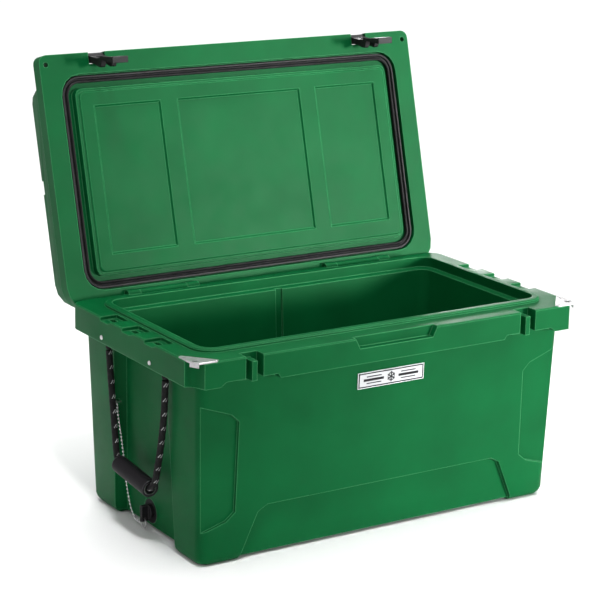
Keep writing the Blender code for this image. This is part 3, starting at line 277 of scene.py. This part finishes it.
def rubber(name, colour, roughness):
    """Dull rubber or yarn: mottled colour, uneven gloss and a very fine grain."""
    made = Shader(name, colour, roughness, specular=RUBBER_SPECULAR)
    made.soft_edges(RUBBER_EDGE)
    made.colour(made.ramp(made.noise(0.02, 5.0), [(0.35, tint(colour, 0.75)), (0.75, tint(colour, 1.5))]))
    made.rough(made.span(made.noise(0.008, 4.0), roughness - 0.08, roughness + 0.12))
    made.bump(made.noise(0.0007, 3.0), 0.00015, 0.5)
    return made.material


def metal(name, colour, roughness, stretch=(1.0, 1.0, 1.0)):
    """Steel with fine grain, drawn out into brushed lines along an axis whose stretch is small."""
    made = Shader(name, colour, roughness, 1.0)
    made.colour(made.ramp(made.noise(0.006, 4.0), [(0.3, tint(colour, 0.82)), (0.7, tint(colour, 1.08))]))
    made.rough(made.span(made.noise(0.0012, 3.0, stretch), roughness - 0.08, roughness + 0.14))
    made.bump(made.noise(0.0005, 2.0, stretch), 0.00004, 0.4)
    return made.material


materials = {
    "green_plastic": moulded_plastic("green_moulded_plastic", GREEN, 0.42),
    "black_nylon": moulded_plastic("black_nylon_plastic", (0.014, 0.013, 0.015), 0.44, 0.0006),
    "black_rubber": rubber("black_latch_rubber", BLACK, 0.42),
    "black_rope": rubber("black_rope_yarn", BLACK, 0.75),
    "chain": metal("bright_chain_steel", (0.80, 0.79, 0.80), 0.22),
    "foam": moulded_plastic("cream_foam", (0.72, 0.62, 0.36), 0.9, 0.002),
    "steel": metal("brushed_steel", (0.50, 0.49, 0.50), 0.34, (1.0, 0.15, 1.0)),
    "white_plastic": moulded_plastic("white_badge_plastic", (0.55, 0.56, 0.57), 0.30, 0.0006),
    "tracer": rubber("pale_tracer_yarn", (0.55, 0.55, 0.56), 0.75),
}


def dress_cad():
    """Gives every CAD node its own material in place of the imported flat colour."""
    slots = {part["node"]: part["material_slot"] for part in frame["record"]["subparts"]}
    for name, node in nodes.items():
        node.data.materials.clear()
        node.data.materials.append(materials[slots[name]])


def smooth_by_angle(limit):
    """A modifier's node group that shades smooth across every edge flatter than a limit."""
    group = bpy.data.node_groups.new("smooth_by_angle", "GeometryNodeTree")
    group.interface.new_socket("Geometry", in_out="INPUT", socket_type="NodeSocketGeometry")
    group.interface.new_socket("Geometry", in_out="OUTPUT", socket_type="NodeSocketGeometry")
    given = group.nodes.new("NodeGroupInput")
    merge = group.nodes.new("GeometryNodeMergeByDistance")
    merge.inputs["Distance"].default_value = WELD_DISTANCE
    plain = group.nodes.new("GeometryNodeRemoveAttribute")
    plain.inputs["Name"].default_value = "custom_normal"
    smooth = group.nodes.new("GeometryNodeSetShadeSmooth")
    angle = group.nodes.new("GeometryNodeInputMeshEdgeAngle")
    hard = group.nodes.new("FunctionNodeCompare")
    hard.operation = "GREATER_THAN"
    hard.inputs["B"].default_value = limit
    sharp = group.nodes.new("GeometryNodeSetShadeSmooth")
    sharp.domain = "EDGE"
    sharp.inputs["Shade Smooth"].default_value = False
    result = group.nodes.new("NodeGroupOutput")
    links = group.links
    links.new(given.outputs["Geometry"], merge.inputs["Geometry"])
    links.new(merge.outputs["Geometry"], plain.inputs["Geometry"])
    links.new(plain.outputs["Geometry"], smooth.inputs["Geometry"])
    links.new(smooth.outputs["Geometry"], sharp.inputs["Geometry"])
    links.new(angle.outputs["Unsigned Angle"], hard.inputs["A"])
    links.new(hard.outputs["Result"], sharp.inputs["Selection"])
    links.new(sharp.outputs["Geometry"], result.inputs["Geometry"])
    return group


# ---- finer pieces ----------------------------------------------------------------------------------

# Lengths are in metres. Places are measured from the middle of the chest's base, with X to the right,
# Y to the back and Z up, and the shared frame's origin lies REST_CENTRE_Y behind that middle.
REST_CENTRE_Y = 0.080144
HINGE = Vector((0.0, 0.2163, 0.3580))
LID_OPEN = radians(105.0)
SMOOTH_LIMIT = radians(32.0)
WELD_DISTANCE = 0.00002
SPAN_STEPS = 24
ROPE_X = 0.376
ROPE_RADIUS = 0.0060
ROPE_STEP = 0.0016
ROPE_SIDES = 32
ROPE_WEAVE_PITCH = 0.0135
ROPE_FURROW = 0.12
TRACER_ROWS = 16
TRACER_RUN = 4
TRACER_YARNS = (3, 7)
CHAIN_PITCH = 0.0066
BEAD_RADIUS = 0.0020
LINK_RADIUS = 0.00055
LINK_SIDES = 6
SEAL_HALF_X = 0.354
SEAL_FRONT = -0.1795
SEAL_REAR = 0.2010
SEAL_RADIUS = 0.038
SEAL_INSET = 0.0020
SEAL_SECTION = (
    (0.0005, 0.3747), (0.0005, 0.3700), (0.0012, 0.3685), (0.0028, 0.3680), (0.0044, 0.3684),
    (0.0054, 0.3696), (0.0060, 0.3718), (0.0072, 0.3722), (0.0082, 0.3716), (0.0090, 0.3696),
    (0.0102, 0.3683), (0.0116, 0.3679), (0.0128, 0.3686), (0.0133, 0.3702), (0.0134, 0.3747),
)
CORNER_STEPS = 8
PLATE_MIDDLE = (0.3745, -0.1990)
PLATE_OUTLINE = (
    (0.3878, -0.1668), (0.3878, -0.1980), (0.3790, -0.2147), (0.3465, -0.2147),
    (0.3422, -0.2108), (0.3832, -0.1634),
)
BORDER_SECTION = ((0.0, -0.0002), (0.01, 0.0004), (0.05, 0.0006), (0.09, 0.0004), (0.10, -0.0002))
# The badge leans forward with the front wall, by this much for each metre of height.
BADGE_LEAN = (0.1950 - 0.1855) / 0.3167
BADGE_BORDER = 0.0022
BADGE_HALF_HEIGHT = 0.014
BAR_SUNK = 0.0004
BAR_PROUD = 0.00025
# Each stroke of the snowflake: its reach across, its reach up and its thickness.
SNOWFLAKE_ARM = (0.0085, 0.0092, 0.0019)
SNOWFLAKE_TWIG = (0.0074, 0.0078, 0.0014)
TWIG_ROOT = 0.0045
TWIG_TURN = 0.42
# Each dark bar beside the snowflake: its near end, its height, its far end and its thickness.
BADGE_BARS = (
    (0.015, 0.0, 0.056, 0.0044),
    (0.020, 0.0058, 0.050, 0.0018),
    (0.020, -0.0058, 0.050, 0.0018),
)
ROPE_ROUTE = (
    (0.0990, 0.3022), (0.0983, 0.2948), (0.0950, 0.2709), (0.0884, 0.2264), (0.0824, 0.1858),
    (0.0774, 0.1525), (0.0742, 0.1310), (0.0715, 0.1209), (0.0687, 0.1178), (0.0653, 0.1141),
    (0.0618, 0.1115), (0.0515, 0.1092), (-0.0027, 0.1040), (-0.0438, 0.1003), (-0.0513, 0.1033),
    (-0.0579, 0.1078), (-0.0624, 0.1132), (-0.0655, 0.1182), (-0.0729, 0.1418), (-0.0826, 0.1784),
    (-0.0904, 0.2163), (-0.0955, 0.2522), (-0.0978, 0.2830), (-0.0988, 0.2966), (-0.0990, 0.3022),
)
CHAIN_ROUTE = (
    (-0.3599, 0.1000, 0.2035), (-0.3592, 0.0985, 0.1850), (-0.3555, 0.0955, 0.1500),
    (-0.3537, 0.0890, 0.1130), (-0.3532, 0.0797, 0.0660), (-0.3530, 0.0660, 0.0290),
    (-0.3530, 0.0520, 0.0120), (-0.3530, 0.0400, 0.0078), (-0.3530, 0.0276, 0.0100),
)


def chest_point(point):
    """A point given from the middle of the chest's base, moved into the shared frame."""
    return Vector((point[0], point[1] - REST_CENTRE_Y, point[2]))


def lid_point(point):
    """A point of the closed lid, turned open about the hinge and moved into the shared frame."""
    turned = Matrix.Rotation(-LID_OPEN, 3, "X") @ (Vector(point) - HINGE)
    return chest_point(turned + HINGE)


def curve_through(stops, step):
    """Evenly spaced points along a smooth curve (Catmull-Rom) through a few stops."""
    ends = [2 * stops[0] - stops[1]] + list(stops) + [2 * stops[-1] - stops[-2]]
    fine = []
    for a, b, c, d in zip(ends, ends[1:], ends[2:], ends[3:]):
        for index in range(SPAN_STEPS):
            t = index / SPAN_STEPS
            fine.append(0.5 * ((2 * b) + (c - a) * t + (2 * a - 5 * b + 4 * c - d) * t ** 2
                               + (3 * b - a - 3 * c + d) * t ** 3))
    fine.append(stops[-1].copy())
    runs = [0.0]
    for a, b in zip(fine, fine[1:]):
        runs.append(runs[-1] + (b - a).length)
    count = round(runs[-1] / step)
    points = []
    at = 0
    for index in range(count + 1):
        target = runs[-1] * index / count
        while at < len(runs) - 2 and runs[at + 1] < target:
            at += 1
        points.append(fine[at].lerp(fine[at + 1], (target - runs[at]) / (runs[at + 1] - runs[at])))
    return points


def direction_at(points, index):
    """The unit direction of a row of points, across each point's two neighbours."""
    return (points[min(index + 1, len(points) - 1)] - points[max(index - 1, 0)]).normalized()


def side_name(side):
    return "right" if side > 0 else "left"


def finish_piece(bm, name, body, slot, *replaced):
    """Turns a bmesh into a smooth piece that rides a body and stands for CAD nodes."""
    bmesh.ops.recalc_face_normals(bm, faces=bm.faces)
    for face in bm.faces:
        face.smooth = True
    mesh = bpy.data.meshes.new(name)
    bm.to_mesh(mesh)
    bm.free()
    piece = bpy.data.objects.new(name, mesh)
    bpy.context.scene.collection.objects.link(piece)
    mesh.materials.append(materials[slot])
    piece.modifiers.new("smooth_by_angle", "NODES").node_group = smoothing
    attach(piece, body)
    if replaced:
        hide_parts(*replaced)
    return piece


def rings_to_tube(bm, rings, closed=False):
    """Skins a row of vertex rings, capped at its ends or closed into a loop; returns the skin's faces."""
    faces = []
    pairs = list(zip(rings, rings[1:]))
    if closed:
        pairs.append((rings[-1], rings[0]))
    for low, high in pairs:
        for index in range(len(low)):
            after = (index + 1) % len(low)
            faces.append(bm.faces.new((low[index], low[after], high[after], high[index])))
    if not closed:
        bm.faces.new(rings[0][::-1])
        bm.faces.new(rings[-1])
    return faces


def braided_rope(side):
    """A braided rope along the handle's loop, with pairs of pale tracer yarns."""
    name = side_name(side)
    points = curve_through([chest_point((side * ROPE_X, y, z)) for y, z in ROPE_ROUTE], ROPE_STEP)
    bm = bmesh.new()
    rings = []
    across = Vector((1.0, 0.0, 0.0))
    for index, point in enumerate(points):
        other = direction_at(points, index).cross(across)
        run = index * ROPE_STEP * 2 * pi / ROPE_WEAVE_PITCH
        ring = []
        for step in range(ROPE_SIDES):
            angle = 2 * pi * step / ROPE_SIDES
            weave = abs(sin(2 * angle + run / 2) * sin(2 * angle - run / 2))
            radius = ROPE_RADIUS * (1.0 - ROPE_FURROW + ROPE_FURROW * weave ** 0.6)
            ring.append(bm.verts.new(point + radius * (cos(angle) * across + sin(angle) * other)))
        rings.append(ring)
    for index, face in enumerate(rings_to_tube(bm, rings)):
        row = (index // ROPE_SIDES) % TRACER_ROWS
        yarn = (index % ROPE_SIDES - row) % (ROPE_SIDES // 2)
        if row < TRACER_RUN and yarn in TRACER_YARNS:
            face.material_index = 1
    rope = finish_piece(bm, "rope_" + name, name + "_handle", "black_rope", "handle_rope_" + name)
    rope.data.materials.append(materials["tracer"])


def ball_chain():
    """Round beads on short links, from the screw in the side to the plug's ring."""
    points = curve_through([chest_point(point) for point in CHAIN_ROUTE], CHAIN_PITCH / 2)
    bm = bmesh.new()
    for index, point in enumerate(points):
        if index % 2 == 0:
            bmesh.ops.create_uvsphere(bm, u_segments=12, v_segments=8, radius=BEAD_RADIUS,
                                      matrix=Matrix.Translation(point))
    rings = []
    for index, point in enumerate(points):
        along = direction_at(points, index)
        across = along.cross(Vector((1.0, 0.0, 0.0))).normalized()
        other = along.cross(across)
        ring = []
        for step in range(LINK_SIDES):
            angle = 2 * pi * step / LINK_SIDES
            ring.append(bm.verts.new(point + LINK_RADIUS * (cos(angle) * across + sin(angle) * other)))
        rings.append(ring)
    rings_to_tube(bm, rings)
    chain = finish_piece(bm, "ball_chain", "chest", "steel", "drain_chain")
    chain.data.materials[0] = materials["chain"]


def rounded_loop(half_x, front, rear, radius):
    """Plan points round a rectangle with rounded corners."""
    loop = []
    corners = ((half_x, rear, 0.0), (-half_x, rear, 0.5), (-half_x, front, 1.0), (half_x, front, 1.5))
    for x, y, start in corners:
        centre_x = x - radius if x > 0 else x + radius
        centre_y = y - radius if y > 0 else y + radius
        for step in range(CORNER_STEPS + 1):
            angle = pi * (start + 0.5 * step / CORNER_STEPS)
            loop.append((centre_x + radius * cos(angle), centre_y + radius * sin(angle)))
    return loop


def seal_ring():
    """The lid's seal: two ribs with a groove between them."""
    bm = bmesh.new()
    loops = []
    for offset, z in SEAL_SECTION:
        inset = SEAL_INSET + offset
        plan = rounded_loop(SEAL_HALF_X - inset, SEAL_FRONT + inset, SEAL_REAR - inset,
                            SEAL_RADIUS - inset)
        loops.append([bm.verts.new(lid_point((x, y, z))) for x, y in plan])
    rings = [list(ring) for ring in zip(*loops)]
    rings_to_tube(bm, rings, closed=True)
    finish_piece(bm, "seal_ring", "lid", "black_rubber", "lid_gasket")


def plate_border(side):
    """The raised border pressed into a corner plate."""
    name = side_name(side)
    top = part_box("corner_plate_" + name)[1][2]
    middle = Vector((*PLATE_MIDDLE, 0.0))
    bm = bmesh.new()
    loops = []
    for shrink, z in BORDER_SECTION:
        loop = []
        for x, y in PLATE_OUTLINE:
            place = (side * (x + (middle.x - x) * shrink), y + (middle.y - y) * shrink, top + z)
            loop.append(bm.verts.new(chest_point(place)))
        loops.append(loop)
    rings_to_tube(bm, [list(ring) for ring in zip(*loops)], closed=True)
    finish_piece(bm, "plate_border_" + name, "chest", "steel")


def badge_motif():
    """A dark outline, a plain snowflake and dark bars on the white badge."""
    low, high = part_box("badge_plate")
    middle = (Vector(low) + Vector(high)) / 2
    bm = bmesh.new()

    def bar(x0, z0, x1, z1, wide):
        """A raised flat bar between two points of the badge's face."""
        start = Vector((x0, 0.0, z0))
        run = Vector((x1 - x0, 0.0, z1 - z0))
        side = Vector((-run.z, 0.0, run.x)).normalized() * wide / 2
        face = low[1] + BADGE_LEAN * BADGE_HALF_HEIGHT
        rows = []
        for depth in (BAR_SUNK, -BAR_PROUD):
            ring = []
            for corner in (start - side, start + run - side, start + run + side, start + side):
                ring.append(bm.verts.new((middle.x + corner.x, face + depth - BADGE_LEAN * corner.z,
                                          middle.z + corner.z)))
            rows.append(ring)
        rings_to_tube(bm, rows)

    half_x = (high[0] - low[0]) / 2 - BADGE_BORDER
    half_z = (high[2] - low[2]) / 2 - BADGE_BORDER
    upright = half_z + BADGE_BORDER / 2
    for side in (-1, 1):
        bar(-half_x, side * half_z, half_x, side * half_z, BADGE_BORDER)
    for side in (-1, 1):
        bar(side * half_x, -upright, side * half_x, upright, BADGE_BORDER)
    arm_x, arm_z, arm_wide = SNOWFLAKE_ARM
    twig_x, twig_z, twig_wide = SNOWFLAKE_TWIG
    for arm in range(6):
        angle = pi * (0.5 + arm / 3)
        bar(0.0, 0.0, arm_x * cos(angle), arm_z * sin(angle), arm_wide)
        for side in (-1, 1):
            tip = angle + side * TWIG_TURN
            bar(TWIG_ROOT * cos(angle), TWIG_ROOT * sin(angle), twig_x * cos(tip), twig_z * sin(tip),
                twig_wide)
    for side in (-1, 1):
        for near, z, far, wide in BADGE_BARS:
            bar(side * near, z, side * far, z, wide)
    finish_piece(bm, "badge_motif", "chest", "black_nylon")


place_camera()
make_studio()
make_floor()
dress_cad()
smoothing = smooth_by_angle(SMOOTH_LIMIT)
for node in nodes.values():
    node.modifiers.new("smooth_by_angle", "NODES").node_group = smoothing
for side in (-1, 1):
    braided_rope(side)
    plate_border(side)
ball_chain()
seal_ring()
badge_motif()
